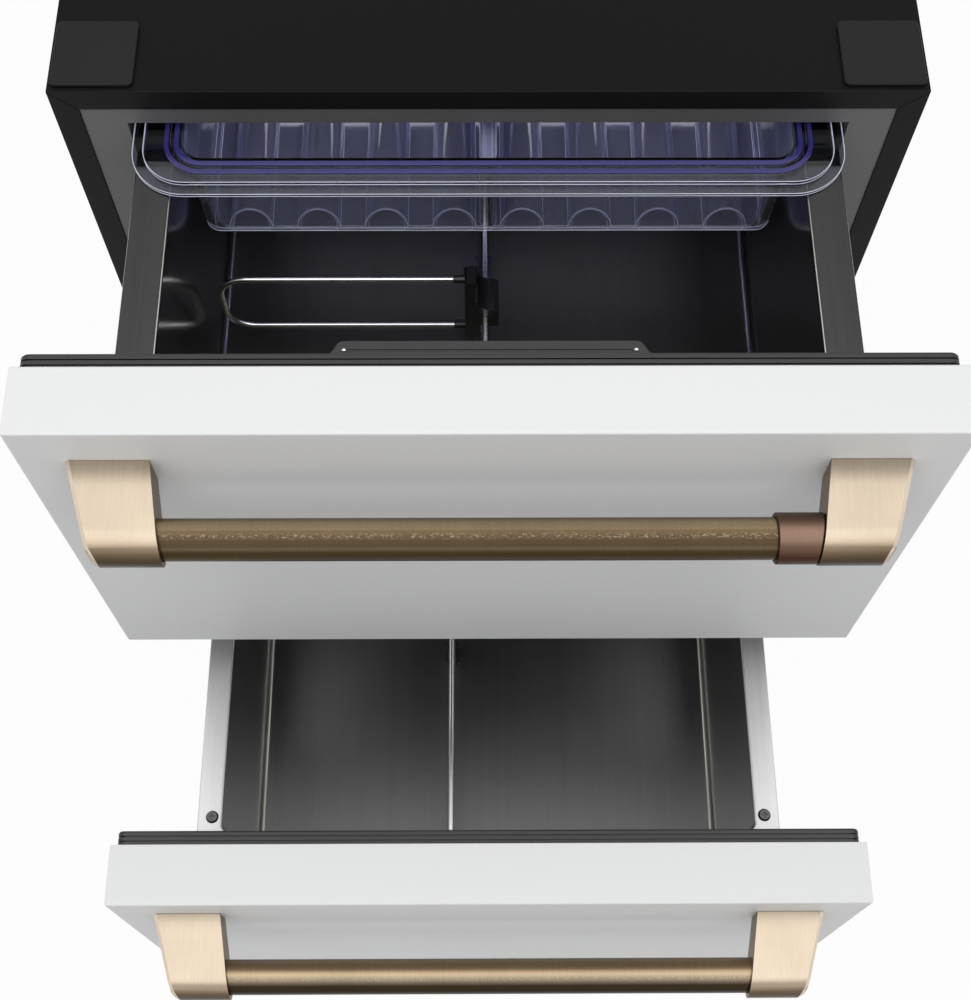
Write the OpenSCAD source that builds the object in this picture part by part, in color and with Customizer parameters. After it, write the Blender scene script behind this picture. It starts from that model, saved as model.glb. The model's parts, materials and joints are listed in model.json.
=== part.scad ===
// Undercounter drawer refrigerator: a free-standing insulated cabinet with two
// full-width drawers on telescopic slides. Millimetres, +Z up, +Y towards the back.
// The origin lies on the floor, in the middle of the area that the open appliance covers.
// The drawers are drawn part way out: upper_open and lower_open say how far.

/* [Cabinet] */
// Width over the painted outer shell
cabinet_w = 603; // [570:1:640]
// Height of the top sheet above the floor
cabinet_h = 876; // [860:1:900]
// Depth of the cabinet without the drawer fronts
cabinet_d = 560; // [550:1:620]
// Thickness of the painted steel sheet
sheet_t = 1.2; // [0.8:0.1:2]
// Insulated side wall, outer face to cavity
side_wall = 48.5; // [44:0.5:56]
// Insulated top, top sheet to cavity ceiling
top_wall = 34; // [30:1:44]
// Height of the cavity floor
cavity_floor_z = 205; // [195:1:212]
// Insulated rear wall, cavity to the back of the cabinet
rear_wall = 52; // [46:1:64]
// Thickness of the moulded liner
liner_t = 2; // [1.5:0.5:3]
// Width of the black border round the front
frame_w = 18.5; // [14:0.5:24]
// Height of the machine compartment's roof
deck_z = 162; // [158:1:172]
// Cross rail between the two drawers, height
mullion_h = 58; // [46:1:66]
// Cross rail, depth
mullion_d = 30; // [20:1:40]

/* [Base] */
// Space under the base pan
leg_h = 24; // [18:1:34]
// Radius of a levelling foot
foot_r = 19; // [14:1:24]
// Radius of a levelling stud
stud_r = 5; // [4:0.5:7]
// Height of the toe recess
kick_h = 100; // [90:1:112]
// Depth of the toe recess
kick_recess = 70; // [50:1:90]
// Pitch of the slots in the toe grille
louvre_pitch = 11; // [9:0.5:16]
// Corner pad on the top sheet, width
pad_w = 57; // [40:1:70]
// Corner pad, depth
pad_d = 56; // [40:1:70]
// Corner pad, thickness
pad_t = 3; // [2:0.5:5]

/* [Drawer fronts] */
// Width of a drawer front
panel_w = 603; // [590:1:610]
// Thickness of a drawer front
panel_t = 48; // [40:1:60]
// Height of the upper front
upper_panel_h = 376; // [360:1:390]
// Gap between the two fronts
panel_gap = 7; // [4:1:12]
// Top sheet down to the top of the upper front
panel_top_gap = 7; // [3:1:12]
// Toe recess up to the bottom of the lower front
panel_kick_gap = 6; // [3:1:10]
// Radius of the fronts' outer edges
edge_r = 2; // [1:0.5:5]
// Thickness of the inner liner of a front
inner_liner_t = 4; // [3:0.5:6]
// Gasket, thickness
gasket_t = 11.7; // [9:0.1:14]
// Gasket, width of the ring
gasket_w = 13; // [10:1:15]
// Gasket, distance in from the front's edge
gasket_inset = 4; // [3:0.5:6]

/* [Drawers] */
// How far the upper drawer stands open
upper_open = 198; // [0:1:430]
// How far the lower drawer stands open
lower_open = 415; // [0:1:430]
// Side room for the slides, bin wall to cavity wall
side_room = 33; // [31:0.5:38]
// Room over the upper bin's flange
bin_headroom = 10; // [9:0.5:14]
// Depth of a bin
bin_depth = 227; // [200:1:232]
// Thickness of the bin's sheet
bin_t = 1.2; // [0.8:0.1:1.6]
// Radius of the bin's upright corners, inside
bin_r = 12; // [6:1:20]
// Width of the lower bin's side flange
lower_flange_w = 20.5; // [18:0.5:24]
// Width of the bin's front flange
front_flange_w = 7; // [6:0.5:12]
// Width of the bin's rear flange
end_flange_w = 22; // [20:0.5:26]
// Height of the flange's folded hem
hem_h = 8; // [5:0.5:10]
// Divider rod, radius
rod_r = 3; // [2.5:0.25:4]
// Flange down to the divider rod
rod_drop = 157; // [140:1:170]
// Lower divider rod, distance left of the middle
lower_rod_x = 34; // [0:1:60]

/* [Slides] */
// Flange down to the slide's centre line
slide_drop = 45; // [42:1:60]
// Thickness of a slide's steel
rail_t = 1.2; // [1:0.1:1.5]
// Ball diameter
ball_d = 4; // [3.5:0.1:4.4]
// Half height of the drawer member
rail_half = 15; // [12:0.5:16]

/* [Handles] */
// Bar, radius
bar_r = 13.7; // [11:0.1:15]
// Bar centre in front of the panel
bar_out = 47; // [42:1:56]
// Bar centre below the panel's top edge
bar_drop = 54; // [48:1:70]
// End cap, radius round the bar
cap_r = 17.5; // [16.5:0.5:20]
// End cap, width at the panel
cap_w = 54; // [44:0.5:60]
// End cap, outer edge to the middle of the panel
cap_reach = 270; // [250:1:280]
// End cap, height at the panel
cap_root_h = 28; // [24:1:34]
// Copper sleeve, length along the bar
sleeve_l = 28; // [20:1:50]

/* [Tray and divider] */
// Tray, depth below the bin flange
tray_depth = 88; // [70:1:92]
// Tray, wall thickness
tray_t = 2.4; // [2:0.1:3]
// Tray, length front to back
tray_l = 292; // [240:1:300]
// Tray, flange all round the tub
tray_flange = 26; // [20:1:30]
// Tray, draft of its walls over their height
tray_draft = 4.5; // [2:0.5:8]
// Floor ridges, pitch
ridge_pitch = 50.8; // [44:0.2:52]
// Floor ridges, radius
ridge_r = 16; // [10:0.5:18]
// Hollow rib down the middle of the tray, width
rib_w = 12; // [8:0.5:16]
// Wire loop, height between the bars' centres
loop_h = 67; // [50:1:80]
// Wire loop, radius of the wire
wire_r = 2.25; // [1.75:0.25:3]
// Divider, distance behind the gasket's face
divider_y = 163; // [120:1:175]

/* [Hidden] */
$fn = 48;
seal_gap = 0.3;
play = 0.3;
run_gap = 0.05;

half_w = cabinet_w / 2;
cavity_w = cabinet_w - 2 * side_wall;
cavity_d = cabinet_d - rear_wall;
ceiling_z = cabinet_h - top_wall;
duct_depth = 52;
duct_y = cavity_d - duct_depth;
duct_t = 2.5;
rear_room = 16;

upper_top_z = cabinet_h - panel_top_gap;
upper_bottom_z = upper_top_z - upper_panel_h;
lower_top_z = upper_bottom_z - panel_gap;
lower_panel_h = lower_top_z - kick_h - panel_kick_gap;
mullion_z = upper_bottom_z - panel_gap / 2;

bin_w = cavity_w - 2 * side_room;
bin_l = duct_y - rear_room;
bin_drop = upper_top_z - ceiling_z + bin_headroom;
upper_flange_w = side_room - 6.5;
in_l = bin_l - front_flange_w - end_flange_w;
mid_y = front_flange_w + in_l / 2;
rod_z = -bin_drop - rod_drop;
floor_z = -bin_drop - bin_depth;
post_l = 25;
post_y = mid_y + 24;
post_foot = 15;

// Slide section, outwards from the bin's wall
inner_tip = 8.3;
mid_web = 8.9;
outer_web = 11.5;
slide_w = outer_web + rail_t;
mid_half = rail_half + ball_d + 2 * 0.1 + rail_t;
outer_half = mid_half + ball_d + 2 * 0.1 + rail_t;
wall_x = bin_w / 2 + bin_t;
outer_l = bin_l - 8;
mid_l = outer_l - 12;
inner_y = 24;
inner_l = bin_l - inner_y - 6;
bracket_l = 40;
bracket_h = 30;

panel_y = -gasket_t - panel_t;
front_reach = max(upper_open, lower_open) + seal_gap - panel_y + bar_out + cap_r;
gland_out = 9;
front_y = (front_reach - cabinet_d - gland_out) / 2;
upper_y = front_y - upper_open - seal_gap;
lower_y = front_y - lower_open - seal_gap;

tray_w = cavity_w - 2 * 3.5;
tray_body_w = bin_w - 8;
tray_rim = 3;
tray_lip = 8;
tray_foot = 4;
tray_r = 38;
tub_r = 16;
tray_end = bin_l - 4;
floor_half = tray_body_w / 2 - tray_draft - tray_foot;
ridge_count = 2 * floor((floor_half - ridge_r) / ridge_pitch + 0.5);

housing_w = 220;
housing_d = 25;
housing_h = 6;

clip_t = 16;
clip_x = 6;
column_w = 10;
hood_l = 29;
loop_end = bin_w / 2 - 8;
ferrule_l = 9;

machine_h = deck_z - leg_h - sheet_t;
leg_x = cabinet_w / 2 - 36;
leg_front_y = kick_recess + 36;
leg_back_y = cabinet_d - 42;

white = [0.93, 0.93, 0.93];
black = [0.07, 0.07, 0.08];
dark = [0.16, 0.16, 0.17];
grey = [0.42, 0.43, 0.44];
steel = [0.72, 0.73, 0.74];
bronze = [0.74, 0.62, 0.47];
copper = [0.62, 0.42, 0.35];
clear_blue = [0.62, 0.68, 0.95, 0.5];
foam_yellow = [0.93, 0.86, 0.62];
aluminium = [0.8, 0.81, 0.82];

// ---- helpers ----

// Rectangle about the origin with round corners
module rrect(w, h, r) {
    square([w - 2 * r, h], center = true);
    square([w, h - 2 * r], center = true);
    for (x = [-1, 1], y = [-1, 1])
        translate([x * (w / 2 - r), y * (h / 2 - r)]) circle(r);
}

// Outline drawn in X and Z, thickness t towards +Y
module upright(t)
    translate([0, t, 0]) rotate([90, 0, 0]) linear_extrude(t) children();

// Outline drawn in Y and Z, length l along X about the middle
module across(l)
    rotate([90, 0, 90]) linear_extrude(l, center = true) children();

module both_sides() {
    children();
    mirror([1, 0, 0]) children();
}

// Block standing on z = 0, middle of its front face at the origin
module block(w, d, h)
    translate([-w / 2, 0, 0]) cube([w, d, h]);

module at_cabinet()
    translate([0, front_y, 0]) children();

// Drawer frame: gasket face at y = 0, top edge of the front at z = 0
module at_upper()
    translate([0, upper_y, upper_top_z]) children();

module at_lower()
    translate([0, lower_y, lower_top_z]) children();

// ---- cabinet ----

module wrapper()
    color(black) at_cabinet() difference() {
        translate([0, sheet_t, leg_h]) block(cabinet_w, cabinet_d - 2 * sheet_t, cabinet_h - leg_h);
        translate([0, 0, leg_h - 1])
            block(cabinet_w - 2 * sheet_t, cabinet_d, cabinet_h - leg_h - sheet_t + 1);
        translate([0, -1, leg_h - 1]) block(cabinet_w + 2, kick_recess + 1, kick_h - leg_h + 1);
    }

module cavity_block(grow, y0)
    translate([0, y0, cavity_floor_z - grow])
        block(cavity_w + 2 * grow, cavity_d + grow - y0, ceiling_z - cavity_floor_z + 2 * grow);

evap_room = 60;
evap_w = cavity_w - 2 * evap_room;
evap_rows = 6;
evap_h = 240;
tube_r = 4;
bend_out = 12;
line_r = 4;
line_x = evap_w / 2 + bend_out + 10;
line_gap = tube_r + line_r + 1 + evap_h / evap_rows / 2 - 10;
line_y = duct_y + duct_t + 25;

module line_holes(r)
    for (x = [line_x, line_x + line_gap])
        translate([-x, line_y, deck_z - 1]) cylinder(r = r, h = cavity_floor_z - deck_z + 2);

module foam_insulation()
    color(foam_yellow) at_cabinet() difference() {
        translate([0, sheet_t + liner_t, deck_z])
            block(cabinet_w - 2 * sheet_t, cabinet_d - 2 * sheet_t - liner_t,
                cabinet_h - sheet_t - deck_z);
        cavity_block(liner_t, 0);
        line_holes(line_r + 0.5);
    }

// Moulded liner: the open cavity with a flange behind the front border
module liner()
    color(grey) at_cabinet() difference() {
        union() {
            cavity_block(liner_t, sheet_t);
            translate([0, sheet_t, deck_z])
                block(cabinet_w - 2 * sheet_t, liner_t, cabinet_h - sheet_t - deck_z);
        }
        cavity_block(0, 0);
        line_holes(line_r + 0.5);
    }

rail_top_z = cavity_floor_z - 14;

module frame_top()
    color(black) at_cabinet() {
        upright(sheet_t) polygon([
            [-half_w, cabinet_h], [half_w, cabinet_h],
            [half_w - frame_w, cabinet_h - frame_w], [-half_w + frame_w, cabinet_h - frame_w]
        ]);
    }

module frame_sides()
    color(black) at_cabinet() both_sides()
        upright(sheet_t) polygon([
            [half_w, cabinet_h], [half_w, kick_h],
            [half_w - frame_w, kick_h + frame_w], [half_w - frame_w, cabinet_h - frame_w]
        ]);

// Bottom rail: the front border, a tall web up to the liner's sill and the toe soffit
module frame_bottom()
    color(black) at_cabinet() {
        upright(sheet_t) polygon([
            [-half_w, kick_h], [half_w, kick_h],
            [half_w - frame_w, kick_h + frame_w], [half_w - frame_w, rail_top_z],
            [-half_w + frame_w, rail_top_z], [-half_w + frame_w, kick_h + frame_w]
        ]);
        translate([0, sheet_t, kick_h])
            block(cabinet_w - 2 * sheet_t, kick_recess - 2 * sheet_t, sheet_t);
    }

module mullion()
    color(dark) at_cabinet() translate([0, sheet_t, mullion_z]) {
        across(cavity_w) translate([mullion_d / 2, 0]) rrect(mullion_d, mullion_h, 3);
    }

module back_panel()
    color(black) at_cabinet() translate([0, cabinet_d - sheet_t, 0]) difference() {
        translate([0, 0, leg_h]) block(cabinet_w, sheet_t, cabinet_h - leg_h);
        for (i = [0 : 8])
            translate([60 + i * 22, -1, leg_h + 24]) block(8, sheet_t + 2, machine_h - 50);
        translate([gland_x, 1 + sheet_t, gland_z]) rotate([90, 0, 0])
            cylinder(r = gland_r + play, h = sheet_t + 2);
    }

gland_x = -half_w + 101.5;
gland_z = leg_h + machine_h / 2 + 30;
gland_r = 9;

// Blank cord gland: a flanged bush in the back panel
module cord_gland()
    color(black) at_cabinet() translate([gland_x, cabinet_d + gland_out, gland_z])
        rotate([90, 0, 0]) rotate_extrude() polygon([
            [3.6, 0], [6.5, 0], [gland_r, gland_out - 3], [gland_r + 4, gland_out - 3],
            [gland_r + 4, gland_out], [gland_r, gland_out], [gland_r, gland_out + 6],
            [3.6, gland_out + 6]
        ]);

module base_pan()
    color(steel) at_cabinet() translate([0, 0, leg_h]) difference() {
        union() {
            translate([0, kick_recess, 0])
                block(cabinet_w - 2 * sheet_t, cabinet_d - kick_recess - sheet_t, sheet_t);
            for (x = [-leg_x, leg_x], y = [leg_front_y, leg_back_y])
                translate([x, y, 0]) cylinder(r = stud_r + 5, h = 12);
        }
        for (x = [-leg_x, leg_x], y = [leg_front_y, leg_back_y])
            translate([x, y, -1]) cylinder(r = stud_r + 0.1, h = 20);
    }

grille_h = kick_h - leg_h - sheet_t;

// Toe grille: a slotted plate across the machine compartment
module kick_grille()
    color(black) at_cabinet() translate([0, kick_recess - sheet_t, leg_h + sheet_t]) difference() {
        block(cabinet_w - 2 * sheet_t, sheet_t, grille_h);
        for (z = [12 : louvre_pitch : grille_h - 12])
            for (x = [-180, 0, 180])
                translate([x, -1, z]) block(150, sheet_t + 2, 5);
    }

module leg(x, y)
    color(dark) at_cabinet() translate([x, y, 0]) {
        cylinder(r = foot_r, h = 8);
        cylinder(r = foot_r * 0.6, h = 14, $fn = 6);
        cylinder(r = stud_r, h = leg_h + 18);
    }

module corner_pads()
    color(dark) at_cabinet() both_sides()
        translate([half_w - 2 - pad_w / 2, 4 + pad_d / 2, cabinet_h])
            linear_extrude(pad_t) rrect(pad_w, pad_d, 4);

// ---- cooling system ----

pot_r = 62;
pot_h = 106;
plate_w = 170;
plate_d = 110;
plate_t = 3;
mount_h = 5;
pot_outline = [
    [0, 0], [0.87, 0], [1, 0.09], [1, 0.47], [1.05, 0.47], [1.05, 0.51], [1, 0.51],
    [1, 0.79], [0.74, 0.94], [0, 1]
];
pot_x = half_w - 131.5;
pot_y = cabinet_d - pot_r - 48;
pan_z = leg_h + sheet_t;

// Hermetic compressor: welded pot on a foot plate
module compressor()
    color(black) at_cabinet() translate([pot_x, pot_y, pan_z]) {
        translate([0, 0, mount_h + plate_t]) rotate_extrude()
            polygon([for (p = pot_outline) [p[0] * pot_r, p[1] * pot_h]]);
        translate([0, 0, mount_h]) linear_extrude(plate_t) rrect(plate_w, plate_d, plate_d / 11);
        for (x = [-1, 1], y = [-1, 1])
            translate([x * plate_w * 0.435, y * plate_d * 0.4, 0])
                cylinder(r = plate_d / 12, h = mount_h);
    }

coil_w = 210;
coil_h = 96;
coil_y = kick_recess + 40;
fan_r = 42;
fan_x = -70;
fan_z = pan_z + 52;
liquid_z = pan_z + coil_h * 7 / 8;
suction_z = pan_z + 64;

// Finned tube coil: a stack of upright fins on hairpin tubes
module fin_coil(w, d, h, fins, rows) {
    pitch = (w - 2) / (fins - 1);
    step = h / rows;
    for (i = [0 : fins - 1])
        translate([-w / 2 + i * pitch, 0, 0]) cube([1.2, d, h]);
    for (k = [0 : rows - 1])
        translate([-w / 2 - bend_out, d / 2, step * (k + 0.5)]) rotate([0, 90, 0])
            cylinder(r = tube_r, h = w + 2 * bend_out);
    for (k = [0 : 1 : rows - 2])
        translate([(k % 2 == 0 ? 1 : -1) * (w / 2 + bend_out), d / 2, step * (k + 1)])
            rotate([90, 0, 0]) rotate_extrude(angle = 180, start = k % 2 == 0 ? -90 : 90)
                translate([step / 2, 0]) circle(tube_r);
}

module condenser()
    color(copper) at_cabinet() translate([fan_x, coil_y, pan_z])
        fin_coil(coil_w, 26, coil_h, 24, 4);

// Axial rotor about +Y, blades in the plane y = 0 to depth
module rotor(r, depth)
    rotate([-90, 0, 0]) difference() {
        union() {
            cylinder(r = r * 0.3, h = depth);
            for (i = [0 : 4])
                rotate([0, 0, i * 72]) intersection() {
                    translate([0, 0, 1]) cylinder(r = r, h = depth - 2);
                    translate([0, 0, depth / 2]) rotate([35, 0, 0])
                        translate([r * 0.2, -depth, -0.8]) cube([r, 2 * depth, 1.6]);
                }
        }
        translate([0, 0, -1]) cylinder(r = 2 + run_gap, h = depth + 2);
    }

// Fan motor behind its rotor: can, shaft and a three-legged frame down to its seat
module fan_motor(r, depth, seat) {
    rotate([-90, 0, 0]) cylinder(r = 2, h = depth + 5);
    translate([0, depth + 3, 0]) rotate([-90, 0, 0]) cylinder(r = r * 0.42, h = 22);
    translate([0, depth + 9, 0]) for (a = [90, 210, 330])
        rotate([0, a, 0]) translate([0, 0, -4]) cube([r + 8, 3, 8]);
    translate([0, depth + 9, 0]) upright(3) difference() {
        circle(r + 8);
        circle(r + 3);
    }
    translate([-14, depth + 9, -seat]) cube([28, 3, seat - r - 4]);
}

module condenser_fan()
    color(dark) at_cabinet() translate([fan_x, coil_y + 34, fan_z]) rotor(fan_r, 18);

module condenser_fan_motor()
    color(grey) at_cabinet() translate([fan_x, coil_y + 34, fan_z])
        fan_motor(fan_r, 18, fan_z - pan_z);

evap_z = cavity_floor_z + 60;
evap_fan_z = evap_z + evap_h + 90;

module evaporator()
    color(aluminium) at_cabinet() translate([0, duct_y + duct_t + 8, evap_z])
        fin_coil(evap_w, 34, evap_h, 30, evap_rows);

module evaporator_fan()
    color(white) at_cabinet() translate([0, duct_y + 1, evap_fan_z]) rotor(fan_r, 14);

module evaporator_fan_motor()
    color(dark) at_cabinet() translate([0, duct_y + 1, evap_fan_z]) {
        rotate([-90, 0, 0]) cylinder(r = 2, h = 20);
        translate([0, 17, 0]) rotate([-90, 0, 0]) cylinder(r = 18, h = cavity_d - duct_y - 18);
    }

// Air duct cover across the back of the cavity, open round the fan and slotted below
module duct_cover()
    color(white) at_cabinet() translate([0, duct_y, cavity_floor_z]) difference() {
        block(cavity_w, duct_depth, ceiling_z - cavity_floor_z);
        translate([0, duct_t, duct_t])
            block(cavity_w - 2 * duct_t, duct_depth, ceiling_z - cavity_floor_z - 2 * duct_t);
        translate([0, duct_t + 1, evap_fan_z - cavity_floor_z]) rotate([90, 0, 0])
            cylinder(r = fan_r + 4, h = duct_t + 2);
        for (x = [-160 : 40 : 160], z = [16, 330])
            translate([x, -1, z]) block(26, duct_t + 2, 6);
        for (x = [line_x, line_x + line_gap])
            translate([-x, line_y - duct_y, -1]) cylinder(r = line_r + 0.5, h = duct_t + 2);
    }

lamp_w = 140;
lamp_h = 20;
lamp_t = 6;
lamp_z = ceiling_z - 2.3 * lamp_h;

module lamp()
    color(white) at_cabinet() translate([0, duct_y - lamp_t, lamp_z])
        upright(lamp_t) rrect(lamp_w, lamp_h, lamp_h / 5);

// A straight tube from p to q, round at both ends
module pipe(p, q, r) {
    d = q - p;
    translate(p) rotate([0, acos(d[2] / norm(d)), atan2(d[1], d[0])])
        cylinder(r = r, h = norm(d));
    for (e = [p, q]) translate(e) sphere(r);
}

module pipe_run(points, r)
    for (i = [0 : len(points) - 2]) pipe(points[i], points[i + 1], r);

// Suction line from the coil's top row to the compressor, and liquid line from the
// condenser's top row to the coil's bottom row
module refrigerant_lines()
    color(copper) at_cabinet() {
        row = evap_h / evap_rows / 2;
        seat = -evap_w / 2 - bend_out - play - line_r;
        pipe_run([
            [seat, line_y, evap_z + evap_h - row], [-line_x - line_gap, line_y, evap_z + evap_h - row],
            [-line_x - line_gap, line_y, suction_z],
            [pot_x - pot_r - play - line_r, line_y, suction_z]
        ], line_r);
        pipe_run([
            [seat, line_y, evap_z + row], [-line_x, line_y, evap_z + row],
            [-line_x, line_y, liquid_z], [-line_x, coil_y + 13, liquid_z],
            [fan_x - coil_w / 2 - bend_out - play - line_r, coil_y + 13, liquid_z]
        ], line_r);
    }

drip_w = 150;
drip_l = 130;
drip_h = 24;
drip_t = 2;

module drain_pan()
    color(dark) at_cabinet() translate([-pot_x, cabinet_d - drip_l, pan_z]) difference() {
        linear_extrude(drip_h) rrect(drip_w, drip_l, drip_l / 11);
        translate([0, 0, drip_t]) linear_extrude(drip_h)
            rrect(drip_w - 2 * drip_t, drip_l - 2 * drip_t, drip_l / 11 - drip_t);
    }

box_w = 110;
box_l = 80;
box_h = 34;

module control_box()
    color(grey) at_cabinet() translate([0, cabinet_d - 140, pan_z]) {
        linear_extrude(box_h) rrect(box_w, box_l, box_l / 16);
        translate([0, 0, box_h]) linear_extrude(3) rrect(box_w + 4, box_l + 4, box_l / 16 + 1);
    }

// ---- telescopic slides ----

// Channel outline: web at x = web, lips out to x = tip, outer faces at z = +-half
module channel(web, tip, half) {
    translate([web, -half]) square([rail_t, 2 * half]);
    for (z = [-half, half - rail_t])
        translate([min(web, tip), z]) square([abs(tip - web), rail_t]);
}

// A fixed member on its two brackets, for the slide at height z
module slide_outer(z)
    both_sides() translate([wall_x, 0, z]) {
        translate([0, 6, 0]) upright(outer_l) channel(outer_web, 4, outer_half);
        for (y = [16, outer_l - bracket_l - 10])
            translate([slide_w, y, -bracket_h / 2])
                cube([side_room - bin_t - slide_w, bracket_l, bracket_h]);
        translate([slide_w, 10, outer_half - 12]) rotate([90, 0, 0])
            translate([5, 0, -6]) cylinder(r = 5, h = 6);
    }

module slide_outers()
    color(dark) at_cabinet() {
        slide_outer(upper_top_z - bin_drop - slide_drop);
        slide_outer(lower_top_z - bin_drop - slide_drop);
    }

// Middle members: they travel half as far as the drawer
module slide_mids(open, z)
    color(steel) at_cabinet() both_sides()
        translate([wall_x, 8 - open / 2, z]) upright(mid_l) channel(mid_web, 3, mid_half);

// Drawer members, on the bin's walls
module slide_inners()
    color(steel) both_sides()
        translate([wall_x, inner_y, -bin_drop - slide_drop])
            upright(inner_l) channel(0, inner_tip, rail_half);

// A strip of balls in their retainer
module ball_strip(x, z, y0) {
    strip_l = mid_l * 0.42;
    translate([x - 2.6, y0, z - 0.4]) cube([5.2, strip_l, 0.8]);
    for (i = [0 : 6])
        translate([x, y0 + 10 + i * (strip_l - 20) / 6, z]) sphere(d = ball_d);
}

module slide_cages(open, z)
    color(steel) at_cabinet() both_sides()
        translate([wall_x, 8 - open / 2, z]) for (s = [-1, 1]) {
            ball_strip(5.8, s * (rail_half + 0.1 + ball_d / 2), 4);
            ball_strip(7.6, s * (mid_half + 0.1 + ball_d / 2), mid_l * 0.56);
        }

// ---- drawer fronts ----

// Outline with its two front corners round: width along X, front edge on y = 0
module front_round(w, t, r) {
    translate([-w / 2, r]) square([w, t - r]);
    translate([-w / 2 + r, 0]) square([w - 2 * r, t]);
    for (x = [-1, 1]) translate([x * (w / 2 - r), r]) circle(r);
}

// Folded steel skin: front face with four returns, edges rounded
module panel_skin(h)
    color(white) translate([0, panel_y, 0]) difference() {
        intersection() {
            translate([0, 0, -h]) linear_extrude(h) front_round(panel_w, panel_t, edge_r);
            across(panel_w) translate([0, -h / 2]) rotate(-90) front_round(h, panel_t, edge_r);
        }
        translate([0, sheet_t, -h + sheet_t])
            block(panel_w - 2 * sheet_t, panel_t, h - 2 * sheet_t);
    }

core_t = 2.5;

ear_l = 24;
ear_h = 14;

// Raised part of the inner liner behind the bin's front wall
module dyke(grow, reach)
    translate([0, 0, floor_z - grow])
        block(bin_w - 1 + 2 * grow, reach + grow, bin_depth - bin_t + grow);

// Ears that carry the bin's side flanges
module ears(flange_w)
    both_sides() translate([wall_x + play, 0, -bin_drop - bin_t - ear_h])
        cube([flange_w - 2 * bin_t - play, gasket_t + ear_l, ear_h]);

module panel_foam(h)
    color(foam_yellow) {
        translate([0, panel_y + sheet_t, -h + sheet_t])
            block(panel_w - 2 * sheet_t, panel_t - sheet_t - inner_liner_t, h - 2 * sheet_t);
        translate([0, -gasket_t - inner_liner_t, 0])
            dyke(-core_t, gasket_t + inner_liner_t + front_flange_w - bin_t);
    }

module gasket_ring(h, inset, w)
    difference() {
        rrect(panel_w - 2 * inset, h - 2 * inset, 6);
        rrect(panel_w - 2 * inset - 2 * w, h - 2 * inset - 2 * w, 1);
    }

// Moulded inner liner with the gasket's groove
module inner_liner(h, flange_w)
    color(dark) difference() {
        union() {
            translate([0, -gasket_t - inner_liner_t, -h + sheet_t])
                block(panel_w - 2 * sheet_t, inner_liner_t, h - 2 * sheet_t);
            translate([0, -gasket_t, 0]) {
                dyke(0, gasket_t + front_flange_w - bin_t);
                ears(flange_w);
            }
        }
        translate([0, -gasket_t - inner_liner_t - 1, 0])
            dyke(-core_t, gasket_t + inner_liner_t + front_flange_w - bin_t + 1);
        translate([0, -gasket_t - 2.2, -h / 2]) upright(3)
            gasket_ring(h, gasket_inset + gasket_w / 2 - 1.5, 3);
    }

// Bellows gasket: a dart in the groove, three ribs and the narrow folds between them
module gasket(h)
    color(black) translate([0, -gasket_t, -h / 2]) {
        rib = gasket_t / 3;
        translate([0, -2, 0]) upright(2) gasket_ring(h, gasket_inset + gasket_w / 2 - 1.2, 2.4);
        for (i = [0 : 2])
            translate([0, i * rib, 0]) {
                upright(rib - 1) gasket_ring(h, gasket_inset, gasket_w);
                translate([0, rib - 1, 0]) upright(i < 2 ? 1 : 0.4)
                    gasket_ring(h, gasket_inset + 1.6, gasket_w - 3.2);
            }
        translate([0, gasket_t - 0.6, 0]) upright(0.6)
            gasket_ring(h, gasket_inset + 0.6, gasket_w - 1.2);
    }

// ---- bins ----

// Stainless bin: one folded shell with a flange and a hem on its sides
module bin(flange_w, screw_y)
    color(steel) {
        out_w = bin_w + 2 * flange_w;
        mid = [0, mid_y, 0];
        difference() {
            union() {
                translate(mid + [0, 0, floor_z]) linear_extrude(bin_depth)
                    rrect(bin_w + 2 * bin_t, in_l + 2 * bin_t, bin_r + bin_t);
                translate([0, 0.5, -bin_drop - bin_t]) block(out_w, bin_l - 0.5, bin_t);
                both_sides() translate([out_w / 2 - bin_t, 0.5, -bin_drop - hem_h])
                    cube([bin_t, bin_l - 0.5, hem_h]);
            }
            translate(mid + [0, 0, floor_z + bin_t]) linear_extrude(bin_depth)
                rrect(bin_w, in_l, bin_r);
            screw_places(screw_y) cylinder(r = 2.2, h = 40, center = true);
        }
    }

upper_screw_y = 14;
lower_screw_y = 18.5;
head_r = 5.3;

module screw_places(screw_y)
    both_sides() translate([bin_w / 2 + 8.3, screw_y, -bin_drop]) children();

// Pan-head screws through the flange into the liner's ears
module bin_screws(screw_y)
    color(black) screw_places(screw_y) {
        difference() {
            cylinder(r1 = head_r, r2 = head_r - 1.2, h = 2.2);
            for (a = [0, 90])
                rotate([0, 0, a]) translate([-2.4, -0.5, 1]) cube([4.8, 1, 2]);
        }
        translate([0, 0, -bin_t]) cylinder(r = 2.1, h = bin_t);
    }

// Divider rod between the bin's end walls, with a boss at each end
module rod(x)
    color(steel) translate([x, front_flange_w, rod_z]) rotate([-90, 0, 0]) {
        cylinder(r = rod_r, h = in_l);
        cylinder(r = rod_r + 3, h = 2);
        translate([0, 0, in_l - 2]) cylinder(r = rod_r + 3, h = 2);
    }

// Folded post under the middle of the rod, with four rivet heads in its foot
module rod_post(x)
    color(dark) translate([x, post_y - post_l / 2, floor_z + bin_t]) {
        post_h = rod_drop * -1 + bin_depth - bin_t;
        difference() {
            union() {
                block(2 * rod_r + 0.6, post_l, post_h);
                block(post_foot, post_l, 1.2);
            }
            translate([0, -1, post_h]) rotate([-90, 0, 0])
                cylinder(r = rod_r + 0.05, h = post_l + 2);
        }
        for (s = [-1, 1], y = [3.5, post_l - 3.5])
            translate([s * (post_foot / 2 - 2), y, 1.2]) cylinder(r1 = 1.8, r2 = 1.1, h = 0.9);
    }

// ---- handles ----

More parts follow.
